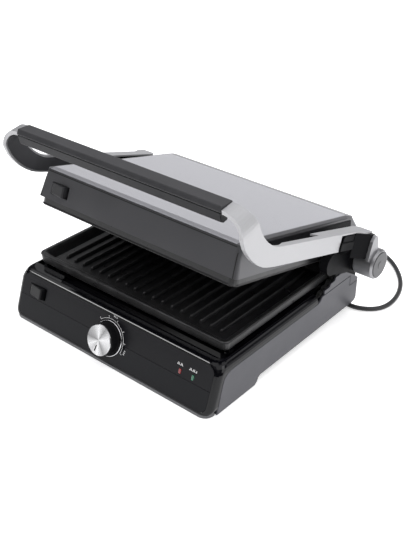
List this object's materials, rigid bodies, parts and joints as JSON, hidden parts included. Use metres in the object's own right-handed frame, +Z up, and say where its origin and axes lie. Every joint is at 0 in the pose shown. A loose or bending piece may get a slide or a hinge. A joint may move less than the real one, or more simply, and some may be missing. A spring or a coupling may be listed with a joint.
{
  "type": "panini press",
  "caption": "Electric contact grill with two ribbed plates, a floating lid on two side arms with a front grip, a turned control knob and a mains lead.",
  "frame": {"origin": "middle of the footprint of the press without its lead, on the table", "axes": "+X to the right as seen from the front, +Y towards the hinge at the rear, +Z up"},
  "size_m": [0.4078, 0.4617, 0.2499],
  "materials": {
    "base_black": "glossy",
    "panel_dark": "matte",
    "gloss_black": "glossy",
    "side_grey": "satin",
    "lip_grey": "satin",
    "plate_black": "non-stick coating",
    "lid_grey": "satin",
    "lid_silver": "satin",
    "arm_silver": "satin",
    "hub_silver": "satin",
    "cap_grey": "satin",
    "grip_grey": "satin",
    "black_plastic": "matte",
    "knob_metal": "turned",
    "steel": "plain",
    "rubber": "matte",
    "red_lens": "glossy",
    "green_lens": "glossy",
    "lead_grey": "matte"
  },
  "bodies": {
    "base": {"base_housing": "base_black", "front_trim": "lip_grey", "lower_fascia": "gloss_black", "control_panel": "panel_dark", "side_panel_left": "side_grey", "side_panel_right": "side_grey", "rear_cheek_left": "side_grey", "rear_cheek_right": "side_grey", "height_rack_left": "rubber", "height_rack_right": "rubber", "hinge_bracket_left": "black_plastic", "hinge_bracket_right": "black_plastic", "hinge_pin_left": "steel", "hinge_pin_right": "steel", "foot_front_left": "rubber", "foot_front_right": "rubber", "foot_rear_left": "rubber", "foot_rear_right": "rubber", "bottom_plate": "black_plastic", "lower_reflector": "steel", "lower_heater": "steel", "thermostat": "black_plastic", "terminal_block": "black_plastic", "indicator_red": "red_lens", "indicator_green": "green_lens", "cord_gland": "rubber", "mains_cord": "lead_grey", "cord_coil": "lead_grey", "cord_tail": "lead_grey", "mains_plug": "lead_grey"},
    "knob": {"knob_shaft": "steel", "knob_body": "black_plastic", "knob_cap": "knob_metal"},
    "lower_latch": {"lower_latch_button": "black_plastic"},
    "lower_plate": {"lower_grill_plate": "plate_black"},
    "arms": {"arm_left": "arm_silver", "arm_right": "arm_silver", "arm_liner_left": "grip_grey", "arm_liner_right": "grip_grey", "arm_cover_left": "arm_silver", "hinge_block_left": "black_plastic", "hinge_block_right": "black_plastic", "hub_left": "hub_silver", "hub_right": "hub_silver", "hub_cap_left": "cap_grey", "hub_cap_right": "cap_grey", "lid_pivot_left": "steel", "lid_pivot_right": "steel", "grip_bar": "grip_grey", "grip_underside": "panel_dark"},
    "lever": {"height_lever": "black_plastic"},
    "lid": {"lid_shell": "lid_grey", "lid_rim": "lid_grey", "lid_top_plate": "lid_silver", "lid_side_vent_left": "black_plastic", "lid_side_vent_right": "black_plastic", "upper_reflector": "steel", "upper_heater": "steel"},
    "upper_latch": {"upper_latch_button": "black_plastic"},
    "upper_plate": {"upper_grill_plate": "plate_black"}
  },
  "joints": [
    {"name": "arms_hinge", "type": "hinge", "parent": "base", "child": "arms", "pos_m": [0, 0.13315, 0.088], "axis": [-1, 0, 0], "range_deg": [-16, 155]},
    {"name": "lid_float", "type": "hinge", "parent": "arms", "child": "lid", "pos_m": [0, 0.06439, 0.13016], "axis": [-1, 0, 0], "range_deg": [0, 6]},
    {"name": "knob_turn", "type": "hinge", "parent": "base", "child": "knob", "pos_m": [0, -0.13742, 0.0314], "axis": [0, 0.9397, -0.342], "range_deg": [0, 270]},
    {"name": "lower_latch_push", "type": "slide", "parent": "base", "child": "lower_latch", "axis": [0, 0.9397, -0.342], "range_m": [0, 0.003], "stiffness_N_per_m": 600},
    {"name": "upper_latch_push", "type": "slide", "parent": "lid", "child": "upper_latch", "axis": [0, 0.9245, -0.3811], "range_m": [0, 0.003], "stiffness_N_per_m": 600},
    {"name": "height_lever_pull", "type": "slide", "parent": "arms", "child": "lever", "axis": [0, -0.2924, -0.9563], "range_m": [0, 0.004], "stiffness_N_per_m": 500},
    {"name": "lower_plate_out", "type": "slide", "parent": "base", "child": "lower_plate", "axis": [0, -1, 0], "range_m": [0, 0.12]},
    {"name": "upper_plate_out", "type": "slide", "parent": "lid", "child": "upper_plate", "axis": [0, -0.2453, -0.9694], "range_m": [0, 0.01]}
  ]
}
